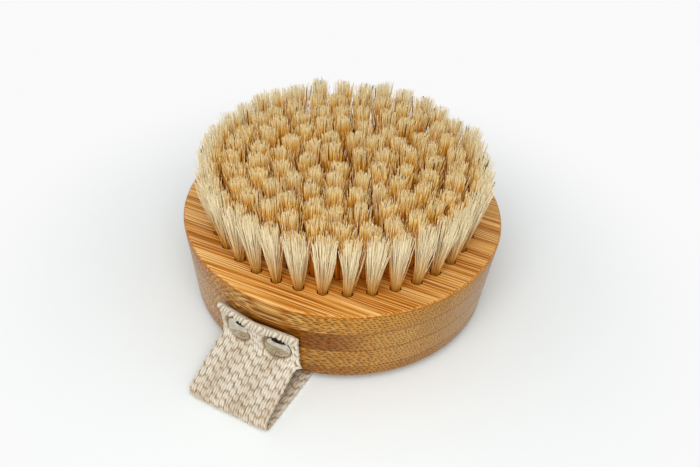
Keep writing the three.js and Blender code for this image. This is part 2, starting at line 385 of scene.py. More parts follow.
def grid_faces(rows, columns, start=0):
    """Quads between rows of a grid that closes on itself across.

    They face outward where rows climb and columns turn left.
    """
    row, column = np.meshgrid(np.arange(rows - 1), np.arange(columns), indexing="ij")
    here = start + row * columns + column
    beside = start + row * columns + (column + 1) % columns
    return np.stack([here, beside, beside + columns, here + columns], -1).reshape(-1, 4)


def fan_faces(first, count, centre):
    """Triangles from a ring of points to one inside it, facing the side from which the ring turns left."""
    corner = np.arange(count)
    return np.stack([first + corner, first + (corner + 1) % count, np.full(count, centre)], -1)


def ring_rows(profile, sides):
    """A profile of (radius, height) turned about Z: x = r cos a, y = r sin a, z = h at even angles a."""
    radius, height = np.array(profile, float).T
    angle = np.arange(sides) * TURN / sides
    x = radius[:, None] * np.cos(angle)
    y = radius[:, None] * np.sin(angle)
    return np.stack([x, y, np.broadcast_to(height[:, None], x.shape)], -1)


def revolved(profile, sides):
    """A solid of revolution from a profile whose two ends are poles on the axis."""
    rows = ring_rows(profile[1:-1], sides)
    count = rows.shape[0] * sides
    poles = np.array([[0, 0, profile[0][1]], [0, 0, profile[-1][1]]])
    points = np.concatenate([rows.reshape(-1, 3), poles])
    bottom = fan_faces(0, sides, count)[:, ::-1]
    top = fan_faces(count - sides, sides, count + 1)
    return points, [np.concatenate([bottom, top]), grid_faces(rows.shape[0], sides)]


# Bamboo

def wall_radius(z):
    """The body's radius at a height: the wall leans in below the rim."""
    return RIM_RADIUS - (FACE_Z - z) * math.tan(WALL_TAPER)


def tuft_rings():
    """Rings a spacing apart from the rim inwards, each with as many tufts as fit a pitch apart along chords.

    The outer tufts lean and spread the most.
    """
    outer = RIM_RADIUS - RIM_MARGIN
    radii = np.arange(outer, TUFT_PITCH / 2, -RING_SPACING)
    rings = []
    for place, radius in enumerate(radii):
        count = int(math.pi / math.asin(TUFT_PITCH / 2 / radius))
        angle = RING_START + RING_TWIST * place + np.arange(count) * TURN / count
        share = radius / outer
        spread = TIP_SPREAD + OUTER_SPREAD * share ** 4
        lean = OUTER_LEAN * share ** 2
        rings.append({"radius": radius, "angle": angle, "lean": lean, "spread": spread})
    return rings


def ring_centres(ring):
    """The x and y of a ring's tufts."""
    return ring["radius"] * np.stack([np.cos(ring["angle"]), np.sin(ring["angle"])], 1)


def drilled_board(rings):
    """The face ply: a turned wall, a flat face cut by round holes, and a wall and floor in each hole."""
    edge = RIM_RADIUS - RIM_CHAMFER
    ease = RIM_CHAMFER / 4
    profile = [
        (wall_radius(FACE_PLY_Z) - EDGE_EASE, FACE_PLY_Z),
        (wall_radius(FACE_PLY_Z + EDGE_EASE), FACE_PLY_Z + EDGE_EASE),
        (wall_radius(FACE_Z - RIM_CHAMFER), FACE_Z - RIM_CHAMFER),
        (edge + ease * 2.6, FACE_Z - ease * 1.6),
        (edge + ease * 1.2, FACE_Z - ease * 0.5),
        (edge, FACE_Z),
        (edge - EDGE_EASE, FACE_Z),
    ]
    sides = ring_rows(profile, BODY_SIDES)
    rim = sides[-1, :, :2]
    centres = np.concatenate([ring_centres(ring) for ring in rings])
    angle = np.arange(HOLE_SIDES) * TURN / HOLE_SIDES
    spoke = np.stack([np.cos(angle), np.sin(angle)], 1)
    mouths = centres[:, None] + (HOLE_RADIUS + HOLE_EASE) * spoke
    plan = np.concatenate([rim, mouths.reshape(-1, 2)])
    triangles = flat_with_holes(plan)
    levels = [
        (HOLE_RADIUS + HOLE_EASE, FACE_Z),
        (HOLE_RADIUS, FACE_Z - 1.5 * HOLE_EASE),
        (HOLE_RADIUS, FACE_PLY_Z + SEAT),
    ]
    bores = ring_rows(levels, HOLE_SIDES)[None].repeat(len(centres), 0)
    bores[..., :2] += centres[:, None, None]
    floors = np.concatenate([centres, np.full((len(centres), 1), FACE_PLY_Z + SEAT)], 1)
    return stitched_board(sides, triangles, bores, floors)


def flat_with_holes(plan):
    """Triangles over a flat face, without those that fill a hole.

    The plan has the points of the rim and then those of each hole.
    """
    corners = [Vector(point) for point in plan.tolist()]
    triangles = np.array(delaunay_2d_cdt(corners, [], [], 0, 1e-7)[2])
    hole = (triangles - BODY_SIDES) // HOLE_SIDES
    filled = (triangles.min(1) >= BODY_SIDES) & (hole.max(1) == hole.min(1))
    return triangles[~filled]


def stitched_board(sides, triangles, bores, floors):
    """Joins the board's surfaces on shared points: the rim's last ring and each hole's first."""
    holes, levels, around = bores.shape[:3]
    wall_count = sides.shape[0] * BODY_SIDES
    points = np.concatenate([sides.reshape(-1, 3), [[0, 0, FACE_PLY_Z]], bores.reshape(-1, 3), floors])
    first_bore = wall_count + 1
    first_floor = first_bore + holes * levels * around
    hole = np.arange(holes)
    mouth = first_bore + (hole[:, None] * levels * around + np.arange(around)).ravel()
    shared = np.concatenate([np.arange(wall_count - BODY_SIDES, wall_count), mouth])
    bottom = fan_faces(0, BODY_SIDES, wall_count)[:, ::-1]
    pit = fan_faces(first_bore + (levels - 1) * around, around, first_floor)
    step = np.array([levels * around, levels * around, 1])
    pits = (pit[None] + hole[:, None, None] * step).reshape(-1, 3)
    bore = grid_faces(levels, around, first_bore)
    bore_walls = (bore[None] + hole[:, None, None] * levels * around).reshape(-1, 4)
    wood = [np.concatenate([bottom, shared[triangles]]), grid_faces(sides.shape[0], BODY_SIDES)]
    return points, wood, [pits, bore_walls]


def strip_solid(low, high, bottom, top, sides=64):
    """A strip sawn from a turned ply between two values of y.

    At each height of radius R the outline runs up the right arc, x = R cos a, y = R sin a, from y = low to
    y = high, and down the left arc.
    """
    heights = [bottom, bottom + EDGE_EASE, top - EDGE_EASE, top]
    inset = [EDGE_EASE, 0, 0, EDGE_EASE]
    radius = np.array([wall_radius(z) - step for z, step in zip(heights, inset)])[:, None]
    start = np.arcsin(np.clip(low / radius, -1, 1))
    end = np.arcsin(np.clip(high / radius, -1, 1))
    share = np.linspace(0, 1, sides)
    right = start + (end - start) * share
    angle = np.concatenate([right, math.pi - right[:, ::-1]], 1)
    x = radius * np.cos(angle)
    y = radius * np.sin(angle)
    rows = np.stack([x, y, np.broadcast_to(np.array(heights)[:, None], x.shape)], -1)
    around = rows.shape[1]
    count = rows.shape[0] * around
    middle = rows[[0, -1]].mean(1)
    points = np.concatenate([rows.reshape(-1, 3), middle])
    lower = fan_faces(0, around, count)[:, ::-1]
    upper = fan_faces(count - around, around, count + 1)
    return welded(points, [np.concatenate([lower, upper]), grid_faces(rows.shape[0], around)])


def welded(points, polygons):
    """Merges points at the same place and drops the corners and faces that then have no width."""
    steps_per_mm = 1e4
    keys = np.round(np.asarray(points, float) * steps_per_mm).astype(np.int64)
    kept, place = np.unique(keys, axis=0, return_inverse=True)
    place = place.ravel()
    threes = []
    fours = []
    for faces in polygons:
        corners = place[faces]
        same = corners == np.roll(corners, -1, axis=1)
        whole = corners[~same.any(1)]
        (fours if faces.shape[1] == 4 else threes).append(whole)
        thin = (same.sum(1) == 1) & (faces.shape[1] == 4)
        if thin.any():
            threes.append(corners[thin][~same[thin]].reshape(-1, 3))
    return kept / steps_per_mm, [np.concatenate(group) for group in (threes, fours) if group]


def fibre_bundles(nodes, grain):
    """How dark the fibre bundles are: cells across the grain that run on along it."""
    _, width, height = grain.parts()
    wander = nodes.streaks(grain, 40, 5, 1.0)
    section = nodes.vector(width / 0.88 + height * 0.48 + wander * 0.7, height / 1.05)
    bundles = nodes.add(
        "ShaderNodeTexVoronoi",
        {"feature": "F1", "voronoi_dimensions": "2D"},
        {"Vector": section, "Scale": 1.0, "Randomness": 0.5},
    )
    chance = bundles.out("Color").parts()[0]
    return bundles.smooth(0.42, 0.2) * (0.6 + chance * 0.4)


def bamboo(name, seed, tone, levels, seams=(), laminated=False):
    """Bamboo along X: fibre bundles show as streaks along the grain and as dots where the wall cuts across.

    levels are the heights of the glue lines above and below, and seams the values of y of those beside. A
    laminated ply has a seam and a new grain every strip's width. The tone shows where the wall runs along
    the grain.
    """
    nodes = finish(name)
    place = nodes.place()
    x, y, z = place.parts()
    grain = nodes.moved(nodes.turned(place, GRAIN_SLANT), (seed * 17.0, seed * 5.3, seed * 3.1))
    gaps = [abs(y - edge) for edge in seams]
    if laminated:
        strip = nodes.chance((y / STRIP_WIDTH).math("FLOOR") + seed)
        grain = nodes.moved(grain, nodes.scaled(strip.out("Color"), (40.0, 40.0, 40.0)))
        gaps.append(abs((y / STRIP_WIDTH + 0.5).math("FRACT") - 0.5) * STRIP_WIDTH)
    bundle = fibre_bundles(nodes, grain)
    fine = nodes.streaks(grain, 50, 0.42)
    broad = nodes.streaks(grain, 120, 1.7, 3.0)
    patchy = nodes.streaks(grain, 45, 14, 1.0)
    on_wall = z.smooth(FACE_Z - 0.2, FACE_Z - RIM_CHAMFER)
    across = x * x / (x * x + y * y) * on_wall
    along = (1 - across).math("POWER", 4.0)
    streaked = (broad - 0.5) * 1.4 + (fine - 0.5) * 2.2
    light = 0.5 + streaked * along + (patchy - 0.5) * 0.4
    if laminated:
        light = light + (strip - 0.5) * 0.2
    along_colour = nodes.ramp(light, [
        (0.08, (0.38, 0.10, 0.006)),
        (0.42, (0.76, 0.335, 0.06)),
        (0.62, (0.88, 0.465, 0.115)),
        (0.95, (0.96, 0.65, 0.28)),
    ])
    across_colour = nodes.ramp(light, [
        (0.15, (0.49, 0.226, 0.05)),
        (0.5, (0.70, 0.366, 0.1)),
        (0.9, (0.86, 0.50, 0.165)),
    ])
    colour = nodes.mix(across, along_colour, across_colour)
    colour = nodes.mix(fine.smooth(0.47, 0.36) * along * 0.8, colour, DARK_STREAK)
    colour = nodes.mix(fine.smooth(0.55, 0.66) * along * 0.6, colour, PALE_STREAK)
    colour = nodes.mix(bundle * (0.45 + on_wall * 0.5 - across * 0.08), colour, BUNDLE)
    rim = z.smooth(FACE_Z - 1.0, FACE_Z - 0.75) * z.smooth(FACE_Z, FACE_Z - 0.12)
    colour = nodes.mix(rim * (0.5 + bundle * 0.5) * 0.9, colour, RIM_LINE)
    # The wall is darker than the face: partly its own end grain, partly painted shade on the side
    colour = nodes.mix(on_wall, colour, WALL_TINT_AND_SHADE, "MULTIPLY")
    # Painted shade: the face darkens among the tufts, where the bristles would shade it
    shaded_among_tufts = (x * x + y * y).math("SQRT").smooth(50, 44) * (1 - on_wall)
    colour = nodes.mix(shaded_among_tufts, colour, SHADE_UNDER_BRISTLES, "MULTIPLY")
    # Painted shade: the back ply's wall is darker near the floor
    shaded_low_on_wall = z.smooth(LOWER_CORE_Z + 0.3, LOWER_CORE_Z - 1.5) * on_wall
    colour = nodes.mix(shaded_low_on_wall, colour, BACK_SHADE, "MULTIPLY")
    seam = gaps[0]
    for gap in gaps[1:]:
        seam = seam.lowest(gap)
    colour = nodes.mix(seam.smooth(0.2, 0.05) * 0.3, colour, SEAM_LINE)
    wavy = z + (patchy - 0.5) * 0.4
    glue = abs(wavy - levels[0]).lowest(abs(wavy - levels[1])).smooth(0.36, 0.1)
    colour = nodes.mix(glue * on_wall * 0.65, colour, GLUE_LINE)
    colour = nodes.mix(across.smooth(0.5, 0.1) * x.smooth(-14, -2), colour, tone, "MULTIPLY")
    return nodes.shine(
        colour,
        0.22 + bundle * 0.12 + fine * 0.12,
        nodes.bump(fine * 0.6 - bundle * 0.5, 0.35, 0.08),
        Specular_IOR_Level=0.5,
        Specular_Tint=(1.0, 0.55, 0.15, 1),
    )


def drilled_wood():
    """Raw wood in the holes, painted nearly black as the shade down each bore, mottled in rings down the
    bore.
    """
    nodes = finish("drilled_wood")
    place = nodes.place()
    bore_mottle = nodes.noise(nodes.scaled(place, (1.2, 1.2, 6.0)))
    # Painted shade: the ramp keeps the bore walls nearly black
    colour = nodes.ramp(bore_mottle, [(0.3, (0.035, 0.014, 0.004)), (0.7, (0.11, 0.045, 0.012))])
    return nodes.shine(colour, 0.5 + bore_mottle * 0.4, nodes.bump(bore_mottle, 0.4, 0.1))


# Bristles

def bristle_tufts(rings, seed):
    """Every bristle of some rings as a thin three-sided spike.

    A bristle starts at a place rho, phi of a sunflower pattern in its hole, rho = sqrt((k + 0.5) / n) and
    phi = k times the golden angle. At a share t of its height its place is root + (tip - root) t^1.05 +
    lean t + bow (t - t^2), where the tip lies on a wider disc that bulges in two and in three lobes. Some
    bristles stray into the gaps between tufts and end lower. Bristles are bleached towards the rim and in
    the fairer tufts.
    """
    rng = np.random.default_rng(seed)
    sizes = [len(ring["angle"]) for ring in rings]
    centres = np.concatenate([ring_centres(ring) for ring in rings])
    outward = np.concatenate([ring_centres(ring) / ring["radius"] for ring in rings])
    lean = np.repeat([math.tan(ring["lean"]) for ring in rings], sizes)[:, None]
    wide = np.repeat([ring["spread"] for ring in rings], sizes)[:, None]
    tufts = len(centres)
    shape = (tufts, TUFT_BRISTLES)
    order = np.arange(TUFT_BRISTLES)
    rho = np.sqrt((order + 0.5) / TUFT_BRISTLES) * np.ones(shape)
    phi = order * TURN * GOLDEN_TURN + rng.uniform(0, TURN, (tufts, 1)) + rng.normal(0, 0.12, shape)
    lobes = 1 + 0.2 * np.cos(2 * phi + rng.uniform(0, TURN, (tufts, 1)))
    lobes += 0.16 * np.cos(3 * phi + rng.uniform(0, TURN, (tufts, 1)))
    spread = wide * rho ** 0.9 * lobes * rng.normal(1, 0.12, shape) * rng.normal(1, 0.06, (tufts, 1))
    stray = rng.random(shape) < STRAY_SHARE
    spread = np.where(stray, TIP_SPREAD * rng.uniform(*STRAY_REACH, shape), spread)
    ray = np.stack([np.cos(phi), np.sin(phi)], -1)
    root = centres[:, None] + ROOT_SPREAD * rho[..., None] * ray
    tip = centres[:, None] + spread[..., None] * ray + rng.normal(0, 0.16, (*shape, 2))
    slope = outward * lean + rng.normal(0, TUFT_SWAY, (tufts, 2))
    bow = rng.normal(0, BRISTLE_BOW, (*shape, 2)) + rng.normal(0, TUFT_BOW, (tufts, 1, 2))
    bow = np.where(stray[..., None], STRAY_BOW * bow, bow)
    short = np.abs(rng.normal(0, BRISTLE_TRIM, shape)) + rng.uniform(*TUFT_TRIM, (tufts, 1))
    short += np.where(stray, rng.uniform(*STRAY_TRIM, shape), 0)
    height = TIP_Z - FACE_Z - short
    share = np.array(BRISTLE_LEVELS)
    rise = share[:, None] * np.ones(2)
    way = root[:, :, None] + (tip - root)[:, :, None] * rise ** 1.05
    way = way + (slope[:, None] * height[..., None])[:, :, None] * rise
    way = way + bow[:, :, None] * (rise - rise ** 2)
    z = FACE_Z + height[..., None] * share
    line = np.concatenate([way, z[..., None]], -1)
    deep = np.concatenate([root, np.full((*shape, 1), FACE_PLY_Z + SEAT + ROOT_LIFT)], -1)
    line = np.concatenate([deep[:, :, None], line], 2).reshape(-1, len(share) + 1, 3)
    fair = np.repeat(rng.uniform(0, FAIREST_TUFT, tufts) ** 1.5, TUFT_BRISTLES)
    from_axis = np.hypot(line[:, 3, 0], line[:, 3, 1])
    bleached = np.maximum(eased(from_axis, *BLEACHED_RADII), fair)
    return spikes(line, bleached, rng)


def spikes(line, bleached, rng):
    """Three-sided spikes round lines of points, thinner at the tip.

    Their UV is a shade and a share of the way up. The shade is 0.6 of how bleached a bristle is plus 0.35
    of chance, with a few dark ones near 0.
    """
    count, levels = line.shape[:2]
    girth = BRISTLE_RADIUS * np.array(BRISTLE_TAPER)
    dark = rng.random(count) < DARK_SHARE
    girth = girth * rng.uniform(0.75, 1.25, (count, 1)) * np.where(dark, DARK_GIRTH, 1)[:, None]
    angle = rng.uniform(0, TURN, (count, 1)) + np.arange(3) * TURN / 3
    corner = np.stack([np.cos(angle), np.sin(angle), np.zeros_like(angle)], -1)
    points = line[:, :, None] + girth[:, :, None, None] * corner[:, None]
    first = np.arange(count)[:, None, None] * levels * 3
    walls = (grid_faces(levels, 3)[None] + first).reshape(-1, 4)
    ends = np.array([[2, 1, 0], [levels * 3 - 3, levels * 3 - 2, levels * 3 - 1]])
    caps = (ends[None] + first).reshape(-1, 3)
    shade = 0.03 + 0.6 * bleached + 0.35 * rng.random(count)
    shade = np.where(dark, DARK_SHADE, shade)
    u = shade[:, None, None] + np.array([-0.004, 0.0, 0.004])
    v = np.linspace(0.01, 0.99, levels)[None, :, None]
    return points, [caps, walls], np.stack(np.broadcast_arrays(u, v), -1)


def natural_bristle():
    """Blond bristle: golden, paler at the tip and on the bleached outside, with a few dark ones."""
    nodes = finish("natural_bristle")
    shade, way = nodes.flat_place()
    # Darker towards the root: partly the bristle's own colour, partly painted shade deep in the tufts
    golden = nodes.ramp(way, [
        (0.25, (0.85, 0.22, 0.002)),
        (0.5, (0.97, 0.36, 0.006)),
        (0.68, (0.96, 0.38, 0.01)),
        (0.8, (0.90, 0.40, 0.018)),
        (0.88, (0.88, 0.49, 0.07)),
        (0.94, (0.95, 0.69, 0.26)),
        (1.0, (1.0, 0.87, 0.56)),
    ])
    cream = nodes.ramp(way, [
        (0.27, (0.55, 0.23, 0.025)),
        (0.36, (0.76, 0.43, 0.11)),
        (0.5, (0.90, 0.63, 0.28)),
        (0.7, (0.99, 0.84, 0.55)),
        (0.88, (1.0, 0.90, 0.65)),
        (1.0, (0.97, 0.84, 0.54)),
    ])
    colour = nodes.mix(shade.smooth(0.34, 0.68), golden, cream)
    band = nodes.chance((shade * 250.0).math("FLOOR"))
    tint = nodes.ramp(band, [
        (0.0, (0.60, 0.44, 0.26)),
        (0.18, (0.88, 0.79, 0.64)),
        (0.36, (1.0, 1.0, 1.0)),
    ])
    colour = nodes.mix(1.0, colour, tint, "MULTIPLY")
    colour = nodes.mix(shade.smooth(0.022, 0.018), colour, (0.035, 0.015, 0.03))
    streak = nodes.noise(nodes.vector(shade * 900.0, way * 14.0))
    return nodes.shine(
        colour,
        0.42 + streak * 0.2,
        nodes.bump(streak, 0.15, 0.03),
        Specular_IOR_Level=0.1,
        Specular_Tint=(1.0, 0.75, 0.4, 1),
    )


# Strap

def off_wall(depth, height):
    """A point in front, at a depth below the face and a height off the wall.

    It is a complex number, the distance from the axis + z i.
    """
    z = FACE_Z - depth
    return wall_radius(z) + z * 1j + height * (math.cos(WALL_TAPER) - 1j * math.sin(WALL_TAPER))


def turn_by(angle):
    """A step of length 1 in a direction, as a complex number."""
    return complex(math.cos(angle), math.sin(angle))


def strap_side(reach):
    """The middle of one end of the strap, from its top on the wall to the floor under the axis.

    It goes straight down the wall, round a bend, straight out along the leaf, round the fold and back along
    the floor.
    """
    half = STRAP_THICKNESS / 2
    top = off_wall(NAIL_DEPTH - TAB_RISE, FIT_GAP + half)
    leave = off_wall(NAIL_DEPTH + TAB_DROP, FIT_GAP + half)
    fold_radius = FOLD_INSIDE + half
    fold = complex(RIM_RADIUS + reach - half - fold_radius, half + fold_radius)
    wall = -math.pi / 2 - WALL_TAPER
    to_fold = fold - leave
    leaf = math.atan2(to_fold.imag, to_fold.real) + math.asin(fold_radius / abs(to_fold))
    bend_start = leave - BEND_RADIUS * math.tan((leaf - wall) / 2) * turn_by(wall)
    bend = bend_start + BEND_RADIUS * turn_by(wall + math.pi / 2)
    bend_angles = np.linspace(wall - math.pi / 2, leaf - math.pi / 2, 24)
    fold_angles = np.linspace(leaf + math.pi / 2, -math.pi / 2, 40)
    around_bend = bend + BEND_RADIUS * np.exp(1j * bend_angles)
    around_fold = fold + fold_radius * np.exp(1j * fold_angles)
    return np.concatenate([[top], around_bend, around_fold, [half * 1j]])


def strap_path(step):
    """Distances an even step apart from the strap's front end, with their places as y + z i."""
    front = strap_side(FRONT_REACH)
    rear = strap_side(REAR_REACH)
    corners = np.concatenate([-front.conj(), rear[::-1][1:]])
    gone = np.concatenate([[0], np.cumsum(np.abs(np.diff(corners)))])
    along = np.linspace(0, gone[-1], int(gone[-1] / step) + 1)
    return along, np.interp(along, gone, corners.real) + 1j * np.interp(along, gone, corners.imag)


def floats_passed(along, fold):
    """How many floats of yarn lie before each distance. They shorten round the front fold."""
    pitch = FLOAT_PITCH * (1 - 0.42 * np.exp(-((along - fold) / 6) ** 2))
    return np.cumsum(np.diff(along, prepend=0) / pitch)


def yarns(passed, across):
    """Height of the weave, up to 1: floats of two strands, every other column half a float on.

    The height is the greatest of sqrt(1 - r^2 - 0.7 b^4) over the nearest floats, with b measured along a
    float and r across one of its strands. The strands draw together towards both ends of their float.
    """
    column = across / YARN_PITCH
    height = np.zeros(np.broadcast(passed, across).shape)
    for side in (-1, 0, 1):
        index = np.round(column) + side
        phase = passed + 0.5 * (index % 2) + 0.12 * np.sin(index * 2.4)
        phase = phase + 0.06 * np.sin(passed * 2.9 + index)
        for ahead in (-1, 0, 1):
            number = np.round(phase) + ahead
            b = 2 * (phase - number)
            narrow = 1.1 * np.sqrt(np.clip(1 - (b / 1.3) ** 2, 0.05, 1))
            slant = 0.1 * np.sin(5.1 * index + 8.7 * number) - 0.1 * b
            a = (2 * (column - index) + slant) / narrow
            strand = (np.abs(a) - 0.47) / 0.53
            swell = 1 - strand ** 2 - 0.7 * b ** 4
            uneven = 0.88 + 0.12 * np.sin(7.3 * index + 12.9 * number)
            height = np.maximum(height, uneven * np.sqrt(np.clip(swell, 0, 1)))
    return np.maximum(height, YARN_FLOOR)


def eased(value, start, end):
    """0 before start, 1 after end, and 3 t^2 - 2 t^3 between them."""
    share = np.clip((value - start) / (end - start), 0, 1)
    return share * share * (3 - 2 * share)


def webbing_strap():
    """A closed woven band along the strap's path.

    A row of points runs across the outer side and back across the inner side. Each is the path's point plus
    the height of that side times the path's normal, moved with the wall's curve where the strap lies on it.
    Returns points, faces, UVs, how light the yarn is at each point, painted shade included, and the flat
    length.
    """
    along, path = strap_path(STRAP_STEP)
    length = along[-1]
    heading = np.gradient(path, along)
    heading = (heading / np.abs(heading))[:, None]
    fold = along[np.argmin(path.real)]
    passed = floats_passed(along, fold)[:, None]
    s = along[:, None]
    inward = np.minimum(s, length - s)
    stops = [0, fold / 2, fold, 2 * fold, length]
    sideways = np.interp(along, stops, [-0.8, -0.2, 1.6, 1.2, 0.0])[:, None]
    hug = 1 - eased(s, 14, fold) + eased(s, length - 24, length - 14)
    reach = np.abs(path.real)[:, None]
    plain = STRAP_THICKNESS / 2 - YARN_RELIEF
    to_hem = HEM_MIDDLE - np.clip(inward, 0, HEM_MIDDLE)
    thin = np.sqrt(np.clip(1 - (to_hem / HEM_OUTSIDE) ** 2, 0.03, 1))
    sides = []
    for turn, count in ((1, OUTER_COLUMNS), (-1, INNER_COLUMNS)):
        outer = turn > 0
        share = turn * np.linspace(-1, 1, count)
        across = share * STRAP_WIDTH / 2
        snag = SNAG_REACH * np.exp(-((s - SNAG_PLACE) / SNAG_WIDTH) ** 2) * (share > 0)
        teeth = 0.16 * np.sin(TURN * passed * 2) + snag
        teeth = teeth * np.sign(share) * np.abs(share) ** 12
        edge = np.sqrt(np.clip(1 - np.abs(share) ** 14, 0.02, 1))
        weave = yarns(passed if outer else passed + 0.5, across)
        hem, ribs = hem_swell(inward, across)
        dent = nail_dent(s, across) + nail_dent(length - s, across)
        rise = (plain + YARN_RELIEF * weave * (1 - 0.7 * dent) * (1 - hem)) * edge * thin
        # Painted shade: the yarn darkens in the dents round the nail heads, and the inner side is kept at
        # 0.8
        yarn = weave * (1 - 0.9 * dent) * 0.8
        if outer:
            rolled = 1 - eased(inward, *HEM_END)
            # Painted shade in the nail dents on the outer side too
            yarn = (weave * (1 - rolled) + rolled * (0.25 + 0.55 * ribs)) * (1 - 0.9 * dent)
            rise = rise + HEM_RISE * hem * (0.35 + 0.65 * ribs) * (1 - 0.6 * dent) - 0.6 * dent
        # Painted shade: the yarn darkens round the front fold
        yarn = yarn * (1 - 0.2 * np.exp(-((s - fold) / 5) ** 2))
        slip = (1 - eased(s, 9, 16)) * TAB_TILT * across
        slip = slip - 0.6 * ribs * (1 - eased(inward, 0, 1.6)) * np.sign(length / 2 - s)
        spot = path[:, None] - 1j * heading * turn * rise + heading * slip
        curve = reach - np.sqrt(np.clip(reach ** 2 - across ** 2, 0, None))
        curve = curve * hug * -np.sign(path.real)[:, None]
        x = across * (1 + 0.03 * hem) + teeth + sideways
        v = (0.01 if outer else 0.5) + 0.235 * (share + 1)
        sides.append((np.stack([x, spot.real + curve, spot.imag], -1), yarn, v))
    points = np.concatenate([side[0] for side in sides], 1)
    weave_and_shade = np.concatenate([side[1] for side in sides], 1)
    v = np.broadcast_to(np.concatenate([side[2] for side in sides]), weave_and_shade.shape)
    u = np.broadcast_to(0.005 + 0.99 * s / length, weave_and_shade.shape)
    around = points.shape[1]
    count = points.shape[0] * around
    ends = points[[0, -1]].mean(1)
    front_cap = fan_faces(0, around, count)
    rear_cap = fan_faces(count - around, around, count + 1)[:, ::-1]
    polygons = [np.concatenate([front_cap, rear_cap]), grid_faces(len(along), around)[:, ::-1]]
    uv = np.concatenate([np.stack([u, v], -1).reshape(-1, 2), [[0.002, 0.5], [0.998, 0.5]]])
    weave_and_shade = np.concatenate([weave_and_shade.ravel(), [0.5, 0.5]])
    points = np.concatenate([points.reshape(-1, 3), ends])
    return points, polygons, uv, weave_and_shade, length


def hem_swell(s, across):
    """The rolled hem a distance s from an end, as half a round from 0 to 1, and the ribs of its thread."""
    ribs = np.abs(np.cos(math.pi * (across / HEM_STITCH + 0.35 * s) + 0.8 * np.sin(1.1 * across)))
    half = np.where(s < HEM_MIDDLE, HEM_OUTSIDE, HEM_INSIDE)
    roll = np.sqrt(np.clip(1 - ((s - HEM_MIDDLE) / half) ** 2, 0, 1))
    return np.broadcast_arrays(roll, ribs)


def nail_dent(s, across):
    """How far the webbing is pressed in round a pair of nail heads, from 0 to 1."""
    depth = np.zeros(np.broadcast(s, across).shape)
    for side in (-0.5, 0.5):
        away = np.hypot(s - TAB_RISE, across - side * NAIL_SPACING)
        depth = np.maximum(depth, 1 - eased(away, HEAD_RADIUS + 0.15, HEAD_RADIUS + 1.3))
    return depth


def cotton_webbing(length):
    """Unbleached cotton: cream yarns, painted shade brown in the gaps, and fibres along each yarn."""
    nodes = finish("cotton_webbing")
    u, v = nodes.flat_place()
    along = u * (length / 0.99)
    across = v * (STRAP_WIDTH / 0.47)
    top = nodes.add("ShaderNodeAttribute", {"attribute_name": "yarn"}).out("Fac")
    fibre = nodes.noise(nodes.vector(along * 0.9 - across * 0.5, across * 5.0), 3.0)
    patch = nodes.noise(nodes.vector(along * 0.16, across * 0.16))
    light = top * 0.75 + (fibre - 0.5) * 0.55 + (patch - 0.5) * 0.25
    # Low attribute values are painted shade: brown in the weave's gaps, nail dents, round the fold, inner
    # side
    colour = nodes.ramp(light, [
        (0.1, (0.27, 0.175, 0.09)),
        (0.3, (0.47, 0.37, 0.25)),
        (0.5, (0.65, 0.57, 0.45)),
        (0.85, (0.85, 0.805, 0.70)),
    ])
    normal = nodes.bump(fibre, 0.5, 0.12)
    return nodes.shine(colour, 0.85 + fibre * 0.1, normal, Specular_IOR_Level=0.2, Sheen_Weight=0.25)


# Nails

def nail_solid(side, rear):
    """A dome-headed nail: a profile turned about an axis square to the wall, through the webbing.

    The head's height at a share t of its radius is its rise times 1 - t^3.
    """
    away = np.linspace(1, 0, 14)
    dome = np.stack([HEAD_RADIUS * away, HEAD_RISE * (1 - away ** 3)], 1)
    profile = [
        (0, -SHANK_LENGTH),
        (SHANK_RADIUS, POINT_LENGTH - SHANK_LENGTH),
        (SHANK_RADIUS, -0.3),
        (HEAD_RADIUS - 0.5, -0.25),
        (HEAD_RADIUS - 0.05, -0.12),
        *dome.tolist(),
    ]
    points, polygons = revolved(profile, NAIL_SIDES)
    depth = NAIL_DEPTH + side * TAB_TILT * NAIL_SPACING / 2
    seat = off_wall(depth, STRAP_THICKNESS - NAIL_PRESS + 2 * FIT_GAP)
    angle = math.asin(side * NAIL_SPACING / 2 / seat.real)
    out = np.array([math.sin(angle), -math.cos(angle), 0.0])
    axis = math.cos(WALL_TAPER) * out - math.sin(WALL_TAPER) * np.array([0, 0, 1.0])
    across = np.cross([0, 0, 1.0], out)
    base = np.stack([across, np.cross(axis, across), axis])
    points = points @ base + out * seat.real + np.array([0, 0, seat.imag])
    if rear:
        points = points * np.array([-1, -1, 1])
    return points, polygons


def nail_steel():
    """Bright nickel with fine rubbing marks."""
    nodes = finish("nail_steel")
    place = nodes.place()
    rubbed = nodes.noise(nodes.scaled(place, (2.0, 2.0, 9.0)), 4.0)
    stain = nodes.noise(nodes.scaled(place, (0.6, 0.6, 0.6)))
    colour = nodes.ramp(stain, [(0.3, (0.54, 0.47, 0.34)), (0.7, (0.66, 0.63, 0.56))])
    normal = nodes.bump(rubbed, 0.12, 0.05)
    return nodes.shine(colour, 0.06 + rubbed * 0.1, normal, Metallic=1.0)


# The brush

rings = tuft_rings()
far = 2 * RIM_RADIUS

points, wood, holes = drilled_board(rings)
face_wood = bamboo("bamboo_face", 1.0, (1.0, 1.0, 1.0), (FACE_PLY_Z, far), laminated=True)
face_ply = make_piece("face_ply", points, [*wood, *holes], [face_wood, drilled_wood()], crease=30)
wood_count = sum(len(faces) for faces in wood)
hole_count = sum(len(faces) for faces in holes)
slots = np.repeat([0, 1], [wood_count, hole_count])
face_ply.data.polygons.foreach_set("material_index", slots.astype(np.int32))
rounded = np.arange(wood_count + hole_count) >= len(wood[0])
face_ply.data.polygons.foreach_set("use_smooth", rounded)
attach(face_ply, "brush")
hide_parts("bamboo_face_ply")

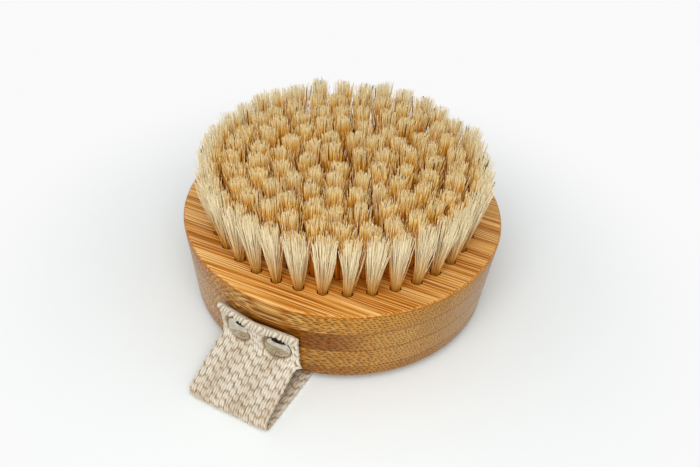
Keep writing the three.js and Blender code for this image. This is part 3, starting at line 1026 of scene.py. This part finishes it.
for ply, seed, bottom, top, tones in (
    ("upper", 2.0, UPPER_CORE_Z, FACE_PLY_Z, UPPER_TONES),
    ("lower", 12.0, LOWER_CORE_Z, UPPER_CORE_Z, LOWER_TONES),
):
    inner_edges = (np.arange(1, len(tones)) - len(tones) / 2) * STRIP_WIDTH
    edges = [-far, *inner_edges.tolist(), far]
    for place, tone in enumerate(tones):
        low, high = edges[place:place + 2]
        seams = [edge for edge in (low, high) if abs(edge) < far]
        node = f"{ply}_core_strip_{place + 1}"
        core_wood = bamboo(f"{ply}_core_bamboo_{place + 1}", seed + place, tone, (bottom, top), seams)
        solid = strip_solid(low, high, bottom, top)
        strip = make_piece(f"{ply}_strip_{place + 1}", *solid, [core_wood], crease=30)
        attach(strip, "brush")
        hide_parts(node)

turn = np.linspace(0, math.pi / 2, 9)
back_edge = wall_radius(BACK_Z + BACK_ROUND) - BACK_ROUND
corner_radius = back_edge + BACK_ROUND * np.sin(turn)
corner_height = BACK_Z + BACK_ROUND * (1 - np.cos(turn))
back_profile = [
    (0, BACK_Z),
    (back_edge / 2, BACK_Z),
    *zip(corner_radius, corner_height),
    (wall_radius(LOWER_CORE_Z - EDGE_EASE), LOWER_CORE_Z - EDGE_EASE),
    (wall_radius(LOWER_CORE_Z) - EDGE_EASE, LOWER_CORE_Z),
    (0, LOWER_CORE_Z),
]
back_wood = bamboo("bamboo_back", 31.0, (0.85, 0.8, 0.7), (-far, LOWER_CORE_Z), laminated=True)
back_ply = make_piece("back_ply", *revolved(back_profile, BODY_SIDES), [back_wood], crease=30)
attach(back_ply, "brush")
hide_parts("bamboo_back_ply")

bristle = natural_bristle()
for seed, (name, group) in enumerate({
    "outer_ring": rings[:1],
    "second_ring": rings[1:2],
    "third_ring": rings[2:3],
    "centre": rings[3:],
}.items()):
    points, polygons, uv = bristle_tufts(group, 50 + seed)
    tufts = make_piece(f"{name}_tufts", points, polygons, [bristle], uv, crease=180)
    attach(tufts, "brush")
    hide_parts(f"{name}_bristles")

steel = nail_steel()
for end in ("front", "rear"):
    for name, side in (("left", -1), ("right", 1)):
        nail = make_piece(f"{end}_{name}_dome_nail", *nail_solid(side, end == "rear"), [steel])
        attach(nail, "brush")
        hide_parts(f"{end}_{name}_nail")

points, polygons, uv, weave_and_shade, strap_length = webbing_strap()
strap = make_piece("hand_strap", points, polygons, [cotton_webbing(strap_length)], uv, crease=75)
yarn = strap.data.attributes.new("yarn", "FLOAT", "POINT")
yarn.data.foreach_set("value", weave_and_shade.astype(np.float32).ravel())
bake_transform(strap)
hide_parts("strap_front_end", "strap_rear_end", "strap_run")
strap_length * MM


# Studio

def flat_sheet(name, corners, material):
    """A piece of one quad."""
    return make_piece(name, corners, [np.array([[0, 1, 2, 3]])], [material])


def studio_floor():
    """A pale floor that takes the brush's shadow and fades to plain white outside it."""
    nodes = finish("studio_floor")
    place = nodes.place()
    x, y, _ = place.parts()
    away = (x * x + y * y).math("SQRT")
    paper = nodes.noise(nodes.scaled(place, (0.05, 0.05, 0.05)))
    tint = nodes.ramp(paper, [(0.0, (0.915, 0.957, 0.955)), (1.0, (0.93, 0.967, 0.965))])
    matt = nodes.add("ShaderNodeBsdfDiffuse", None, (tint,))
    white = nodes.add("ShaderNodeEmission", None, ((0.95, 0.95, 0.95, 1), 1.0))
    fade = away.smooth(*FLOOR_FADE) * nodes.seen()
    shader = nodes.add("ShaderNodeMixShader", None, (fade, matt, white))
    nodes.add("ShaderNodeOutputMaterial", None, (shader,))
    span = FLOOR_SPAN
    corners = np.array([[-span, -span, 0], [span, -span, 0], [span, span, 0], [-span, span, 0]])
    floor = flat_sheet("floor", corners, nodes.owner)


def dark_card():
    """A dark sheet round the camera, out of the picture, that only polished metal shows."""
    nodes = finish("dark_card")
    grain = nodes.noise(nodes.scaled(nodes.place(), (0.02, 0.02, 0.02)))
    colour = nodes.ramp(grain, [(0.0, (0.015, 0.012, 0.01)), (1.0, (0.05, 0.035, 0.025))])
    material = nodes.shine(colour, 0.9 + grain * 0.05, nodes.bump(grain, 0.1, 1.0))
    middle = np.array([100.0, -1400.0, 500.0])
    across = np.array([1500.0, 200.0, 0.0])
    up = np.array([0.0, 0.0, 490.0])
    below = middle - up
    above = middle + up
    corners = np.stack([below - across, below + across, above + across, above - across])
    card = flat_sheet("dark_card", corners, material)
    card.visible_camera = False
    card.visible_diffuse = False
    card.visible_shadow = False
    card.visible_transmission = False


def white_sky(scene):
    """An even white world, dimmer as a light than it looks in the picture and in polished metal."""
    scene.world = bpy.data.worlds.new("studio")
    sky = Nodes(scene.world)
    strength = SKY_LIGHT + (1 - SKY_LIGHT) * sky.seen()
    light = sky.add("ShaderNodeBackground", None, ((1, 1, 1, 1), strength))
    sky.add("ShaderNodeOutputWorld", None, (light,))


def softbox(scene, name, azimuth, elevation, distance, size, power):
    """A square lamp that looks at the brush from a direction, in degrees and metres."""
    lamp = bpy.data.lights.new(name, "AREA")
    lamp.size = size
    lamp.energy = power
    turn = math.radians(azimuth)
    rise = math.radians(elevation)
    flat = math.cos(rise)
    back = Vector((math.sin(turn) * flat, -math.cos(turn) * flat, math.sin(rise)))
    lamp_object = bpy.data.objects.new(name, lamp)
    lamp_object.location = back * distance
    lamp_object.rotation_euler = back.to_track_quat("Z", "Y").to_euler()
    scene.collection.objects.link(lamp_object)


scene = bpy.context.scene
studio_floor()
white_sky(scene)
dark_card()
softbox(scene, "key", azimuth=22, elevation=46, distance=0.6, size=0.45, power=2.6)

back = Vector((
    math.sin(VIEW_AZIMUTH) * math.cos(VIEW_ELEVATION),
    -math.cos(VIEW_AZIMUTH) * math.cos(VIEW_ELEVATION),
    math.sin(VIEW_ELEVATION),
))
ahead = -back
right = Vector((math.cos(VIEW_AZIMUTH), math.sin(VIEW_AZIMUTH), 0))
up = right.cross(ahead)
pitch = Matrix.Rotation(VIEW_PITCH, 3, right)
ahead = pitch @ ahead
up = pitch @ up
yaw = Matrix.Rotation(VIEW_YAW, 3, up)
ahead = yaw @ ahead
right = yaw @ right
roll = Matrix.Rotation(VIEW_ROLL, 3, ahead)
right = roll @ right
up = roll @ up
lens = bpy.data.cameras.new("camera")
lens.lens = LENS
lens.sensor_width = SENSOR_WIDTH
lens.clip_start = 10 * MM
camera = bpy.data.objects.new("camera", lens)
axes = Matrix((right, up, -ahead)).transposed().to_4x4()
spot = back * VIEW_DISTANCE * MM + Vector((0, 0, FACE_Z * MM))
camera.matrix_world = Matrix.Translation(spot) @ axes
scene.collection.objects.link(camera)
scene.camera = camera
scene.view_settings.view_transform = "Standard"
